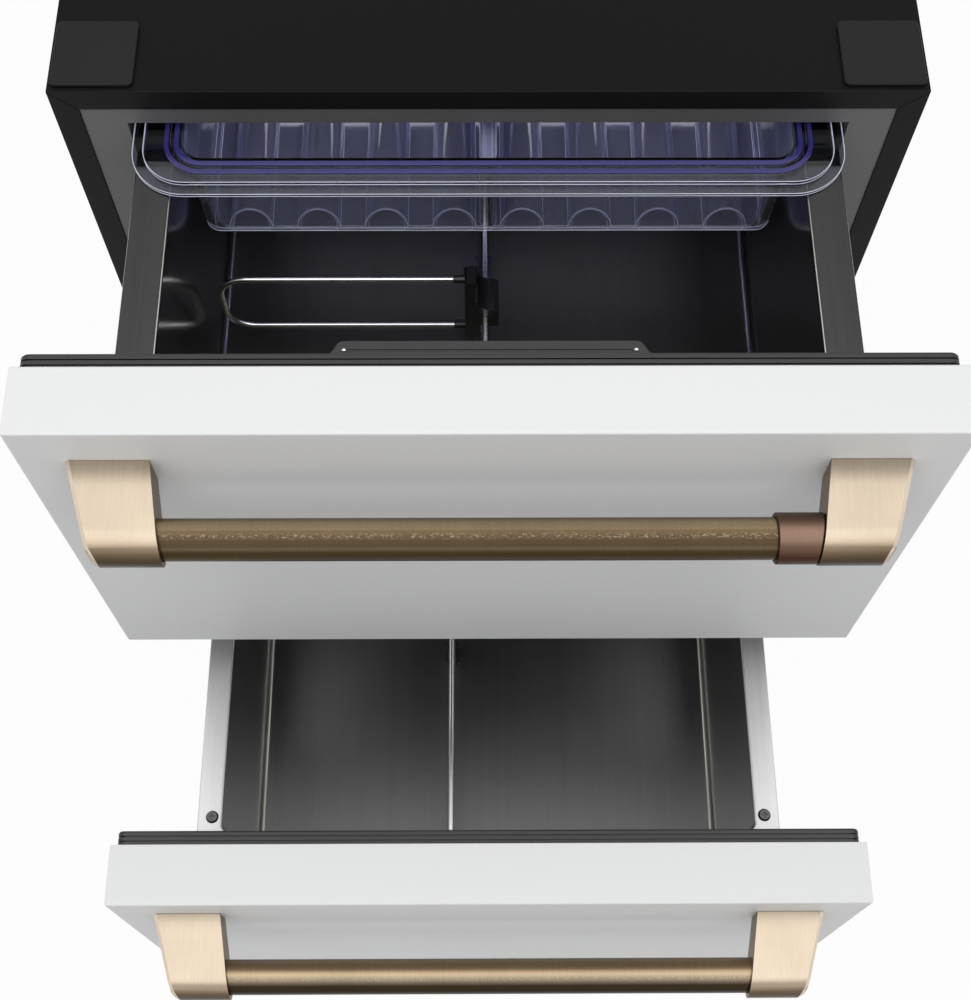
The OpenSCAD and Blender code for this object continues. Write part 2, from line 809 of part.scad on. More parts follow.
// Side outline of an end cap: root at the panel, round nose about the bar
module cap_profile() {
    top = cap_r - 1.5;
    polygon([
        [0, top + 3.5], [-bar_out, cap_r], [-bar_out, -cap_r], [0, top + 3.5 - cap_root_h]
    ]);
    translate([-bar_out, 0]) circle(cap_r);
}

cap_lean = 17.5;
cap_corner = 4.5;

// Inner face of a cap in plan: x at distance out from the panel
function cap_inner(out) = cap_reach - cap_w - 0.58 * cap_lean * out / (bar_out + cap_r);

// Plan outline of the right cap: both sides lean in towards the nose, its outer corner cut
module cap_plan() {
    nose = bar_out + cap_r + 1;
    polygon([
        [cap_reach - cap_w, 0.001], [cap_reach, 0.001],
        [cap_reach - cap_lean, -nose + 1.4 * cap_corner],
        [cap_reach - cap_lean - cap_corner, -nose], [cap_inner(nose), -nose]
    ]);
}

socket = 6;

module handle_caps()
    color(bronze) translate([0, panel_y, -bar_drop]) both_sides() difference() {
        intersection() {
            translate([-0.5, 0, 0]) across(2 * cap_reach + 20) cap_profile();
            translate([0, 0, -100]) linear_extrude(200) cap_plan();
        }
        translate([cap_inner(bar_out - cap_r) - 20, -bar_out, 0]) rotate([0, 90, 0])
            cylinder(r = bar_r + 0.1, h = 20 + socket);
    }

bar_half = cap_inner(bar_out - cap_r) + socket;

module handle_bar()
    color(bronze) translate([-bar_half, panel_y - bar_out, -bar_drop]) rotate([0, 90, 0])
        cylinder(r = bar_r, h = 2 * bar_half);

// Plain sleeve on the right end of the upper bar
module handle_sleeve()
    color(copper) at_upper() translate([0, panel_y - bar_out, -bar_drop]) difference() {
        intersection() {
            translate([cap_reach - cap_w - cap_lean / 2 - sleeve_l, 0, 0]) rotate([0, 90, 0])
                cylinder(r = cap_r - 0.9, h = sleeve_l + cap_lean);
            translate([-play, bar_out, -50]) linear_extrude(100) polygon([
                [0, 0], [cap_inner(0), 0],
                [cap_inner(bar_out + cap_r + 1), -bar_out - cap_r - 1], [0, -bar_out - cap_r - 1]
            ]);
        }
        rotate([0, 90, 0]) cylinder(r = bar_r + run_gap, h = 2 * cap_reach);
    }

// ---- fittings in the upper drawer ----

// Low moulded housing over the bin's front flange
module control_housing()
    color(black) at_upper() difference() {
        translate([0, 0.6, -bin_drop]) linear_extrude(housing_h) hull() {
            translate([-housing_w / 2, 0]) square([housing_w, 6]);
            for (x = [-1, 1])
                translate([x * (housing_w / 2 - 9 - 5), housing_d - 5.6]) circle(5, $fn = 32);
        }
        translate([0, housing_d - 8, -bin_drop + housing_h - 0.8])
            block(housing_w - 28, 1.4, 2);
    }

rod_x = 2;
clip_drop = -bin_drop - rod_drop;

// Divider clip: an upright column for the loop, and a hood that snaps over the rod. The
// hood's top sweeps up into the column.
module divider_clip()
    color(black) at_upper() translate([-rod_x, divider_y, clip_drop]) {
        wire_x = -clip_x - column_w;
        difference() {
            union() {
                translate([0, -clip_t / 2, 0]) upright(clip_t)
                    translate([-clip_x - column_w / 2, loop_z])
                        rrect(column_w, loop_h + 12, 3);
                translate([0, clip_t / 2 - hood_l, 0]) upright(hood_l) hood_profile();
            }
            translate([0, -hood_l, 0]) rotate([-90, 0, 0])
                cylinder(r = rod_r + play, h = 2 * hood_l);
            translate([-rod_r + 0.4, -hood_l, -40]) cube([2 * rod_r - 0.8, 2 * hood_l, 40]);
            for (z = [-1, 1])
                translate([wire_x - 1, 0, loop_z + z * loop_h / 2]) rotate([0, 90, 0])
                    cylinder(r = wire_r + 0.05, h = column_w * 0.7 + 1);
        }
        for (z = [-1, 1])
            translate([wire_x - ferrule_l, 0, loop_z + z * loop_h / 2])
                rotate([0, 90, 0]) difference() {
                    cylinder(r = wire_r + 1.2, h = ferrule_l + 0.2);
                    translate([0, 0, -1]) cylinder(r = wire_r + 0.05, h = ferrule_l + 3);
                }
    }

module hood_profile() {
    sweep_r = 12;
    side = rod_r + 7.5;
    difference() {
        polygon([
            [-clip_x - 2, -rod_r - 8], [side, -rod_r - 8], [side, rod_r + 7],
            [side - 4, rod_r + 9], [-clip_x, rod_r + 9 + sweep_r],
            [-clip_x - 2, rod_r + 9 + sweep_r]
        ]);
        translate([-clip_x + sweep_r, rod_r + 9 + sweep_r]) circle(sweep_r);
    }
}

loop_z = -9.5;
loop_r = 22;

// Wire loop: one bent wire, its two ends in the clip
module divider_loop()
    color(steel) at_upper() translate([-rod_x, divider_y, clip_drop + loop_z]) {
        inner_x = -clip_x - column_w * 0.4;
        turn_x = -loop_end + loop_r + wire_r + rod_x;
        for (z = [-1, 1]) {
            translate([turn_x, 0, z * loop_h / 2]) rotate([0, 90, 0])
                cylinder(r = wire_r, h = inner_x - turn_x);
            translate([turn_x, 0, z * (loop_h / 2 - loop_r)]) rotate([90, 0, 0])
                rotate_extrude(angle = 90, start = z > 0 ? 90 : 180)
                    translate([loop_r, 0]) circle(wire_r);
        }
        translate([turn_x - loop_r, 0, -loop_h / 2 + loop_r])
            cylinder(r = wire_r, h = loop_h - 2 * loop_r);
    }

tray_front = tray_end - tray_l;
body_l = tray_l - 2 * tray_flange;

// Tub with draft and a turned-in foot, grown outwards by g
module tub(g, depth)
    hull() {
        for (step = [[0, 0, tub_r], [depth - tray_foot, tray_draft, tub_r - 4],
                [depth - 0.5, tray_draft + tray_foot, tub_r - 7]])
            translate([0, 0, -step[0] - 0.5]) linear_extrude(0.5)
                rrect(tray_body_w + 2 * g - 2 * step[1], body_l + 2 * g - 2 * step[1],
                    step[2], $fn = 32);
    }

// Clear tray: flange, raised rim with a groove, tub, half-round floor ridges and a hollow rib
module tray()
    color(clear_blue) at_upper()
        translate([0, tray_front + tray_l / 2, -bin_drop + play]) difference() {
            union() {
                linear_extrude(tray_t) rrect(tray_w, tray_l, tray_r);
                linear_extrude(tray_t + tray_rim)
                    rrect(tray_w - 2 * tray_lip, tray_l - 2 * tray_lip, tray_r - tray_lip);
                difference() {
                    translate([0, 0, 0.2]) tub(0, tray_depth);
                    translate([0, 0, tray_t]) tub(-tray_t, tray_depth);
                }
                floor_forms(0, tray_t);
            }
            translate([0, 0, -0.5]) linear_extrude(tray_t + tray_rim + 1)
                rrect(tray_body_w - 2 * tray_t, body_l - 2 * tray_t, tub_r - tray_t);
            translate([0, 0, tray_t + tray_rim - 1.2]) linear_extrude(2) difference() {
                rrect(tray_body_w + 14, body_l + 14, tub_r + 7);
                rrect(tray_body_w + 10, body_l + 10, tub_r + 5);
            }
            floor_forms(tray_t, -1);
        }

// Ridges and middle rib, smaller by the wall t all round; base is their lowest level
module floor_forms(t, base) {
    form_l = body_l - 2 * (tray_draft + tray_foot) - 2;
    for (i = [0 : ridge_count - 1])
        translate([(i - (ridge_count - 1) / 2) * ridge_pitch, 0, -tray_depth])
            intersection() {
                across_y(form_l) {
                    translate([0, tray_t]) circle(ridge_r - t);
                    translate([-ridge_r + t, base - 1])
                        square([2 * (ridge_r - t), tray_t + 1 - base]);
                }
                across(2 * ridge_r + 2) polygon([
                    [-form_l / 2 + t, base], [form_l / 2 - t, base],
                    [form_l / 2 - t - ridge_r / 3, ridge_r + tray_t],
                    [-form_l / 2 + t + ridge_r / 3, ridge_r + tray_t]
                ]);
            }
    translate([0, 0, -tray_depth + base]) linear_extrude(tray_depth - 6 - t - base)
        rrect(rib_w - 2 * t, form_l - 2 * t, rib_w / 2 - t - 0.1);
}

// Outline drawn in X and Z, length l along Y about the middle
module across_y(l)
    translate([0, -l / 2, 0]) upright(l) children();

// ---- the pieces ----

wrapper();
foam_insulation();
liner();
frame_top();
frame_bottom();
frame_sides();
mullion();
back_panel();
base_pan();
kick_grille();
corner_pads();
compressor();
condenser();
condenser_fan_motor();
condenser_fan();
evaporator();
duct_cover();
evaporator_fan_motor();
evaporator_fan();
refrigerant_lines();
drain_pan();
control_box();
lamp();
cord_gland();
slide_outers();
leg(-leg_x, leg_front_y);  // leg_front_left
leg(leg_x, leg_front_y);  // leg_front_right
leg(-leg_x, leg_back_y);  // leg_back_left
leg(leg_x, leg_back_y);  // leg_back_right
at_upper() panel_skin(upper_panel_h);  // upper_panel_skin
at_upper() panel_foam(upper_panel_h);  // upper_panel_foam
at_upper() inner_liner(upper_panel_h, upper_flange_w);  // upper_inner_liner
at_upper() gasket(upper_panel_h);  // upper_gasket
at_upper() bin(upper_flange_w, upper_screw_y);  // upper_bin
at_upper() bin_screws(upper_screw_y);  // upper_bin_screws
at_upper() rod(-rod_x);  // upper_rod
at_upper() rod_post(-rod_x);  // upper_rod_post
at_upper() handle_bar();  // upper_handle_bar
at_upper() handle_caps();  // upper_handle_caps
handle_sleeve();
control_housing();
at_upper() slide_inners();  // upper_slide_inners
slide_mids(upper_open, upper_top_z - bin_drop - slide_drop);  // upper_slide_mids
slide_cages(upper_open, upper_top_z - bin_drop - slide_drop);  // upper_slide_cages
divider_clip();
divider_loop();
tray();
at_lower() panel_skin(lower_panel_h);  // lower_panel_skin
at_lower() panel_foam(lower_panel_h);  // lower_panel_foam
at_lower() inner_liner(lower_panel_h, lower_flange_w);  // lower_inner_liner
at_lower() gasket(lower_panel_h);  // lower_gasket
at_lower() bin(lower_flange_w, lower_screw_y);  // lower_bin
at_lower() bin_screws(lower_screw_y);  // lower_bin_screws
at_lower() rod(-lower_rod_x);  // lower_rod
at_lower() rod_post(-lower_rod_x);  // lower_rod_post
at_lower() handle_bar();  // lower_handle_bar
at_lower() handle_caps();  // lower_handle_caps
at_lower() slide_inners();  // lower_slide_inners
slide_mids(lower_open, lower_top_z - bin_drop - slide_drop);  // lower_slide_mids
slide_cages(lower_open, lower_top_z - bin_drop - slide_drop);  // lower_slide_cages
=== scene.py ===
import json
import math
import bpy
import bmesh
from mathutils import Matrix, Vector

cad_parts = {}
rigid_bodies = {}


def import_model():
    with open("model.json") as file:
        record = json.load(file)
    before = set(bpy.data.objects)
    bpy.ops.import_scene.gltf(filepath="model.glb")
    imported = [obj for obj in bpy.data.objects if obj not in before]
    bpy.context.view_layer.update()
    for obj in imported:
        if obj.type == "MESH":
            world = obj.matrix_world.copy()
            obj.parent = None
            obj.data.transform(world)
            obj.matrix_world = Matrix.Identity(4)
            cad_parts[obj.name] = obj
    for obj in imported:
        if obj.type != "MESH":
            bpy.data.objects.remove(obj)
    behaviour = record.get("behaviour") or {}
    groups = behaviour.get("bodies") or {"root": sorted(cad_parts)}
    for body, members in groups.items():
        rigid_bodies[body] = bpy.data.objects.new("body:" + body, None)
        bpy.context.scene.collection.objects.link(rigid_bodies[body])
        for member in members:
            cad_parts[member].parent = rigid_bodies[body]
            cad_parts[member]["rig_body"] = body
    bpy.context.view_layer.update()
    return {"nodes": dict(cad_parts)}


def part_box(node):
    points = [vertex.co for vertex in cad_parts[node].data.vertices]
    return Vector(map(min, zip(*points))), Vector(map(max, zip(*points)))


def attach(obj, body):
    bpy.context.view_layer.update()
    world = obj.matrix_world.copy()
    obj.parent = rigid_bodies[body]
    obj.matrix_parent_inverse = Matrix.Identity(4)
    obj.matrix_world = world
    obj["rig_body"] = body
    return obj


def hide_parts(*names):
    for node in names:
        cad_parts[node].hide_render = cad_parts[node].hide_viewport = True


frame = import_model()
nodes = frame["nodes"]
print("frame loaded:", len(nodes), "nodes")


class Value:
    # a shader socket that does sums
    def __init__(self, network, socket):
        self.network = network
        self.socket = socket

    def sums(self, operation, first, second):
        return self.network.node("ShaderNodeMath", {"operation": operation}, {0: first, 1: second})

    def __add__(self, other):
        return self.sums("ADD", self, other)

    def __radd__(self, other):
        return self.sums("ADD", other, self)

    def __sub__(self, other):
        return self.sums("SUBTRACT", self, other)

    def __rsub__(self, other):
        return self.sums("SUBTRACT", other, self)

    def __mul__(self, other):
        return self.sums("MULTIPLY", self, other)

    def __rmul__(self, other):
        return self.sums("MULTIPLY", other, self)


class Network:
    # node tree of a material or of the world
    def __init__(self, tree):
        self.tree = tree

    def node(self, kind, settings=None, links=None, out=0):
        made = self.tree.nodes.new(kind)
        for key, amount in (settings or {}).items():
            if key == "stops":
                ramp = made.color_ramp.elements
                while len(ramp) < len(amount):
                    ramp.new(0.5)
                for stop, (place, tone) in zip(ramp, amount):
                    stop.position = place
                    stop.color = (*(tone if isinstance(tone, tuple) else grey(tone)), 1.0)
            else:
                setattr(made, key, amount)
        for key, amount in (links or {}).items():
            if isinstance(amount, Value):
                self.tree.links.new(amount.socket, made.inputs[key])
            elif isinstance(amount, tuple) and len(made.inputs[key].default_value) == 4:
                made.inputs[key].default_value = (*amount, 1.0)
            else:
                made.inputs[key].default_value = amount
        return Value(self, made.outputs[out])

    def seenBy(self, rays):
        # 1 for any of these kinds of ray, 0 for the others
        share, *others = [self.node("ShaderNodeLightPath", out=ray) for ray in rays]
        for ray in others:
            share = self.node("ShaderNodeMath", {"operation": "MAXIMUM"}, {0: share, 1: ray})
        return share

    def shown(self, shader, end):
        self.tree.links.new(shader.socket, self.tree.nodes[end].inputs["Surface"])


class Finish(Network):
    # one material: its principled shader's fixed settings, then whatever nodes it needs
    def __init__(self, name, **settings):
        self.material = bpy.data.materials.new(name)
        self.material.use_nodes = True
        super().__init__(self.material.node_tree)
        self.shader = self.tree.nodes["Principled BSDF"]
        for key, amount in settings.items():
            socket = self.shader.inputs[key.replace("_", " ").title().replace("Ior", "IOR")]
            socket.default_value = (*amount, 1.0) if isinstance(amount, tuple) else amount

    def feed(self, socket, amount):
        self.tree.links.new(amount.socket, self.shader.inputs[socket])

    def place(self, scale=(1, 1, 1)):
        spot = self.node("ShaderNodeTexCoord", out="Object")
        return self.node("ShaderNodeMapping", {}, {"Vector": spot, "Scale": scale})

    def facing(self, axis):
        # how far the surface faces along an axis, from -1 to 1
        normal = self.node("ShaderNodeNewGeometry", out="Normal")
        return self.node("ShaderNodeSeparateXYZ", {}, {"Vector": normal}, out=axis)

    def ramp(self, share, stops):
        return self.node("ShaderNodeValToRGB", {"stops": stops}, {"Fac": share})

    def noise(self, scale, where=None, detail=2.0, rough=0.55):
        links = {"Vector": where or self.place(), "Scale": scale, "Detail": detail}
        return self.node("ShaderNodeTexNoise", {}, {**links, "Roughness": rough})

    def mix(self, share, first, second, **settings):
        settings["data_type"] = "RGBA"
        return self.node("ShaderNodeMix", settings, {0: share, 6: first, 7: second}, out=2)

    def bump(self, height, strength, depth):
        links = {"Height": height, "Strength": strength, "Distance": depth}
        self.feed("Normal", self.node("ShaderNodeBump", {}, links))


def grey(level):
    return (level, level, level)


def shades(tone, spread):
    # the same colour a little darker and a little lighter
    dark = tuple(part * (1 - spread) for part in tone)
    light = tuple(min(1.0, part * (1 + spread)) for part in tone)
    return dark, light


paintLook = {
    "peelScale": 850.0, "peelRelief": 0.12, "peelDepth": 0.00012, "peelRough": 0.03,
    "cloudScale": 7.0, "cloudRough": 0.05,
}


def paintedSheet(name, tone, rough, peel=1.0, **more):
    look = paintLook
    made = Finish(name, base_color=tone, **more)
    peelNoise = made.noise(look["peelScale"])
    cloud = made.noise(look["cloudScale"])
    made.feed("Roughness", rough + (cloud - 0.5) * look["cloudRough"]
              + (peelNoise - 0.5) * look["peelRough"])
    made.bump(peelNoise, look["peelRelief"] * peel, look["peelDepth"])
    return made.material


mouldLook = {
    "grainScale": 2600.0, "grainRelief": 0.35, "grainDepth": 0.00006, "grainRough": 0.12,
    "cloudScale": 11.0, "cloudDetail": 3.0,
}


def mouldedPlastic(name, tone, rough, grain=1.0, spread=0.12, **more):
    look = mouldLook
    made = Finish(name, **more)
    fine = made.noise(look["grainScale"])
    cloud = made.noise(look["cloudScale"], detail=look["cloudDetail"])
    made.feed("Base Color", made.mix(cloud, *shades(tone, spread)))
    made.feed("Roughness", rough + (fine - 0.5) * look["grainRough"])
    made.bump(fine, look["grainRelief"] * grain, look["grainDepth"])
    return made.material


brushLook = {
    # noise scales along and across the brushing, then how the fine and wide lines share it
    "along": 5.0, "across": 1900.0, "fine": 1.0, "wide": 0.35, "wideScale": 0.16,
    "fineShare": 0.6, "wideShare": 0.4, "contrast": [(0.36, 0.0), (0.64, 1.0)],
    "cloudScale": 9.0, "cloudRough": 0.06, "depth": 0.00005,
}


def brushedMetal(name, tone, rough, along="y", streak=0.1, swing=0.12, relief=0.2):
    look = brushLook
    made = Finish(name, metallic=1.0)
    scale = tuple(look["along" if axis == along else "across"] for axis in "xyz")
    wideScale = tuple(each * look["wideScale"] for each in scale)
    lines = made.noise(look["fine"], made.place(scale))
    wide = made.noise(look["wide"], made.place(wideScale))
    grain = lines * look["fineShare"] + wide * look["wideShare"]
    cloud = made.noise(look["cloudScale"])
    made.feed("Base Color", made.mix(made.ramp(grain, look["contrast"]), *shades(tone, streak)))
    made.feed("Roughness", rough + (grain - 0.5) * swing * 2 + (cloud - 0.5) * look["cloudRough"])
    made.bump(grain, relief, look["depth"])
    return made.material


bronzeLook = {
    # painted shade and highlight: tones by how far the surface faces up and a little back, from 0
    # (away) to 1, darker as it turns from the light above
    "upperBar": [
        (0.23, (0.078, 0.054, 0.027)), (0.38, (0.054, 0.033, 0.012)), (0.48, (0.057, 0.036, 0.013)),
        (0.56, (0.06, 0.042, 0.021)), (0.64, (0.115, 0.086, 0.051)), (0.72, (0.077, 0.053, 0.028)),
        (0.8, (0.055, 0.038, 0.02)), (0.88, (0.068, 0.049, 0.028)), (0.95, (0.106, 0.073, 0.04)),
        (0.985, (0.27, 0.2, 0.12)), (1.0, (0.42, 0.32, 0.2))],
    "lowerBar": [
        (0.2, (0.05, 0.034, 0.017)), (0.31, (0.032, 0.019, 0.007)), (0.48, (0.017, 0.01, 0.0035)),
        (0.61, (0.037, 0.025, 0.012)), (0.72, (0.032, 0.023, 0.013)), (0.81, (0.147, 0.115, 0.08)),
        (0.89, (0.19, 0.15, 0.105)), (0.95, (0.32, 0.25, 0.165)), (1.0, (0.25, 0.17, 0.1))],
    "cap": [
        (0.25, (0.03, 0.019, 0.009)), (0.6, (0.057, 0.039, 0.021)), (0.8, (0.156, 0.11, 0.07)),
        (0.9, (0.305, 0.24, 0.167)), (0.99, (0.41, 0.343, 0.262))],
    "capSide": [(0.3, (0.21, 0.15, 0.09)), (0.7, (0.28, 0.21, 0.14))],
    "capEdge": [(0.3, (0.27, 0.21, 0.14)), (0.5, (0.4, 0.32, 0.24)), (0.8, (0.78, 0.66, 0.52))],
    "sleeve": [
        (0.3, (0.075, 0.03, 0.016)), (0.45, (0.045, 0.016, 0.007)), (0.64, (0.054, 0.02, 0.009)),
        (0.86, (0.124, 0.076, 0.053)), (1.0, (0.163, 0.104, 0.075))],
    "barTilt": 0.4226,  # sine of the angle by which the bars' tones lean back
    "rings": (1500, 24, 24), "lines": (1900, 6, 700), "ringShare": 0.35,
    "flecks": (560, 900, 900), "fleckShare": 0.65, "fleckRough": 0.6,
    # the band that faces the light above, where the flecks are lightened as painted glints
    "lit": [(0.82, 0.0), (0.87, 1.0), (0.9, 1.0), (0.95, 0.0)],
    "paintedGlints": [(0.52, 0.0), (0.66, 1.0)], "glintShare": 0.32, "glintTone": (0.42, 0.34, 0.24),
    "patchScale": 20.0, "patchShare": 0.45, "shade": [(0.35, 0.84), (0.65, 1.0)],
    "swing": 0.1, "depth": 0.00009,
}


def paintedShadeBronze(name, tones, rough, relief, turned=False):
    # painted shade and highlight by facing, fine brushing, and on the turned bars short flecks in
    # their highlight, lightened there as painted glints
    look = bronzeLook
    made = Finish(name, metallic=1.0)
    upward = made.facing("Z")
    if turned:
        tilt = look["barTilt"]
        upward = upward * math.sqrt(1 - tilt * tilt) + made.facing("Y") * tilt
    upward = upward * 0.5 + 0.5
    # painted shade and highlight: the base colour follows how far the surface faces the light above
    tone = made.ramp(upward, look[tones])
    brushing = made.noise(1.0, made.place(look["rings" if turned else "lines"]))
    patches = made.noise(look["patchScale"])
    grain = brushing
    if turned:
        flecks = made.noise(1.0, made.place(look["flecks"]), rough=look["fleckRough"])
        grain = brushing * look["ringShare"] + flecks * look["fleckShare"]
        # painted glints: flecks lightened only within the band that faces the light
        paintedGlints = made.ramp(flecks, look["paintedGlints"]) * made.ramp(upward, look["lit"])
        tone = made.mix(paintedGlints * look["glintShare"], tone, look["glintTone"])
    patchy = brushing * (1 - look["patchShare"]) + patches * look["patchShare"]
    shade = made.ramp(patchy, look["shade"])
    made.feed("Base Color", made.mix(1.0, tone, shade, blend_type="MULTIPLY"))
    made.feed("Roughness", rough + (grain - 0.5) * look["swing"])
    made.bump(grain, relief, look["depth"])
    return made.material


clearLook = {
    "ior": 1.49, "paintedGlowTone": (0.84, 0.87, 1.0),
    "waveScale": 38.0, "waveRough": 0.03, "waveRelief": 0.15, "waveDepth": 0.0006,
}


# glow is a faint emission, used only for the tray's painted edge highlights
def clearPlastic(name, tone, rough, clear, shine=0.5, glow=0.0):
    look = clearLook
    made = Finish(name, base_color=tone, transmission_weight=clear, ior=look["ior"],
                  specular_ior_level=shine, emission_color=look["paintedGlowTone"],
                  emission_strength=glow)
    waves = made.noise(look["waveScale"])
    made.feed("Roughness", rough + waves * look["waveRough"])
    made.bump(waves, look["waveRelief"], look["waveDepth"])
    return made.material


lampLook = {
    "frostScale": 160.0, "frostTone": (0.7, 0.72, 0.75), "frostGlow": (0.8, 0.86, 1.0),
    "tone": (0.9, 0.94, 1.0), "strength": 3.0,
}


def lampGlass(name):
    look = lampLook
    made = Finish(name, emission_strength=look["strength"])
    frost = made.noise(look["frostScale"])
    made.feed("Base Color", made.mix(frost, look["frostTone"], look["tone"]))
    made.feed("Emission Color", made.mix(frost, look["frostGlow"], look["tone"]))
    return made.material


dull = {"specular_ior_level": 0.08}
finishes = {
    "shell": paintedSheet("blackPowderPaint", (0.0035, 0.0035, 0.0038), rough=0.5, **dull),
    "border": paintedSheet("blackBorderPaint", (0.009, 0.009, 0.0094), rough=0.42, **dull),
    "enamel": paintedSheet("whiteEnamel", (0.79, 0.795, 0.80), rough=0.4, peel=0.5,
                           specular_ior_level=0.12),
    "liner": mouldedPlastic("greyLiner", (0.115, 0.115, 0.117), rough=0.42, grain=0.4),
    "charcoal": mouldedPlastic("charcoalLiner", (0.02, 0.021, 0.022), rough=0.42, grain=0.4),
    "gasket": mouldedPlastic("gasketRubber", (0.008, 0.008, 0.009), rough=0.4, grain=0.2),
    "pad": mouldedPlastic("grainedPad", (0.018, 0.018, 0.0185), rough=0.5, grain=1.6, **dull),
    "nylon": mouldedPlastic("blackNylon", (0.007, 0.007, 0.008), rough=0.34, grain=0.4),
    "housing": mouldedPlastic("housingBlack", (0.01, 0.01, 0.011), rough=0.36, grain=0.4),
    "duct": mouldedPlastic("ductWhite", (0.68, 0.69, 0.7), rough=0.4, grain=0.4, spread=0.03),
    "foam": mouldedPlastic("pouredFoam", (0.72, 0.6, 0.33), rough=0.9, grain=2.0, spread=0.1),
    # one brushed steel for both bins, with a tone for each drawer and for floor, wall and lip:
    # painted shade and light; the bends get a lighter tone as a painted highlight line
    "upperFloor": brushedMetal("upperBinFloorPaintedShade", (0.1, 0.096, 0.08), rough=0.34,
                               streak=0.05, swing=0.05, relief=0.04),
    "upperWall": brushedMetal("upperBinWallPaintedShade", (0.26, 0.258, 0.24), rough=0.15,
                              streak=0.04, swing=0.04, relief=0.03),
    "upperLip": brushedMetal("upperBinLipPaintedShade", grey(0.055), rough=0.22,
                             streak=0.08, swing=0.06, relief=0.05),
    "lowerFloor": brushedMetal("lowerBinFloorPaintedShade", grey(0.145), rough=0.34,
                               streak=0.06, swing=0.05, relief=0.04),
    "lowerWall": brushedMetal("lowerBinWallPaintedLight", grey(0.8), rough=0.17,
                              streak=0.06, swing=0.04, relief=0.03),
    "lowerLip": brushedMetal("lowerBinLipPaintedLight", grey(0.44), rough=0.4,
                             streak=0.06, swing=0.06, relief=0.06),
    "binOutside": brushedMetal("binOutsideSteel", grey(0.42), rough=0.3,
                               streak=0.06, swing=0.06, relief=0.04),
    "binBendHighlight": brushedMetal("brushedSteelBendPaintedHighlight", (0.64, 0.63, 0.57), rough=0.25,
                            streak=0.04, swing=0.05, relief=0.03),
    "galvanised": brushedMetal("galvanisedSheet", (0.42, 0.425, 0.43), rough=0.45,
                               along="x", streak=0.14),
    "zinc": brushedMetal("zincPlate", (0.5, 0.5, 0.49), rough=0.34),
    "screw": brushedMetal("blackenedScrew", (0.06, 0.06, 0.062), rough=0.2),
    "railDark": brushedMetal("darkZincRail", (0.09, 0.09, 0.092), rough=0.38),
    "chrome": brushedMetal("polishedWire", grey(0.74), rough=0.22,
                           along="x", streak=0.03, swing=0.03, relief=0.05),
    "bareCopper": brushedMetal("copperTube", (0.6, 0.3, 0.19), rough=0.3, along="x", streak=0.08),
    "fins": brushedMetal("finAluminium", (0.7, 0.71, 0.72), rough=0.35, along="z", streak=0.05),
    # bronze and copper tones are painted by facing: painted shade below and painted highlight on
    # top, with its own painted shading for each bar and a painted highlight on the caps' chamfer
    "upperBar": paintedShadeBronze("turnedBronzeBar", "upperBar", rough=0.36, relief=0.3, turned=True),
    "lowerBar": paintedShadeBronze("turnedBronzeBarLower", "lowerBar", rough=0.36, relief=0.3,
                                turned=True),
    "bronzeCap": paintedShadeBronze("brushedBronzeCapPaintedShade", "cap", rough=0.34, relief=0.1),
    "capSide": paintedShadeBronze("bronzeCapSidePaintedShade", "capSide", rough=0.4, relief=0.1),
    "capEdge": paintedShadeBronze("bronzeCapEdgePaintedHighlight", "capEdge", rough=0.3, relief=0.05),
    "copper": paintedShadeBronze("copperSleevePaintedShade", "sleeve", rough=0.38, relief=0.05),
    "trayWall": clearPlastic("clearTrayWall", (0.68, 0.7, 1.0), rough=0.03, clear=0.77),
    "trayFront": clearPlastic("clearTrayFront", (0.58, 0.59, 0.62), rough=0.02, clear=0.99,
                              shine=0.2),
    # the flange is tinted darker than the walls of the same plastic: painted shade over what shows
    # through
    "trayFlange": clearPlastic("clearTrayFlangePaintedShade", (0.6, 0.63, 0.75), rough=0.02, clear=1.0,
                               shine=0.06),
    # glows with no lamp behind it: the painted highlight of the tray's edge lines
    "trayEdge": clearPlastic("glowingTrayEdgePaintedHighlight", (0.78, 0.8, 0.92), rough=0.16, clear=0.35, glow=0.12),
    "trayRim": clearPlastic("blueTrayRim", (0.16, 0.15, 0.52), rough=0.06, clear=0.7),
    "trayBead": clearPlastic("deepBlueTrayBead", (0.03, 0.026, 0.16), rough=0.12, clear=0.15),
    "lamp": lampGlass("litLampLens"),
}
print("finishes made:", len(finishes))


meshLook = {
    # angles in degrees: edges shaded as sharp, edges that get a rounding, flat faces joined
    "crease": 38.0, "roundFrom": 50.0, "flatWithin": 0.4, "weld": 0.000004,
}


def addPiece(mesh, name, body, finish, replaced=()):
    # finish is one name or several, in the order of the faces' material numbers
    crease = math.radians(meshLook["crease"])
    bmesh.ops.recalc_face_normals(mesh, faces=mesh.faces)
    for face in mesh.faces:
        face.smooth = True
    for edge in mesh.edges:
        edge.smooth = len(edge.link_faces) == 2 and edge.calc_face_angle(0) < crease
    data = bpy.data.meshes.new(name)
    mesh.to_mesh(data)
    mesh.free()
    for each in [finish] if isinstance(finish, str) else finish:
        data.materials.append(finishes[each])
    piece = bpy.data.objects.new(name, data)
    bpy.context.scene.collection.objects.link(piece)
    even = piece.modifiers.new("evenShading", "WEIGHTED_NORMAL")
    even.keep_sharp = True
    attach(piece, body)
    if replaced:
        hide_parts(*replaced)
    return piece


def mergedCopy(node):
    flat = math.radians(meshLook["flatWithin"])
    mesh = bmesh.new()
    mesh.from_mesh(nodes[node].data)
    bmesh.ops.remove_doubles(mesh, verts=mesh.verts, dist=meshLook["weld"])
    bmesh.ops.dissolve_limit(mesh, angle_limit=flat, verts=mesh.verts, edges=mesh.edges)
    return mesh


def bevelEdges(mesh, edges, width, segments, clamp=True):
    return bmesh.ops.bevel(mesh, geom=edges, offset=width, offset_type="OFFSET", segments=segments,
                           profile=0.5, affect="EDGES", clamp_overlap=clamp, material=-1)


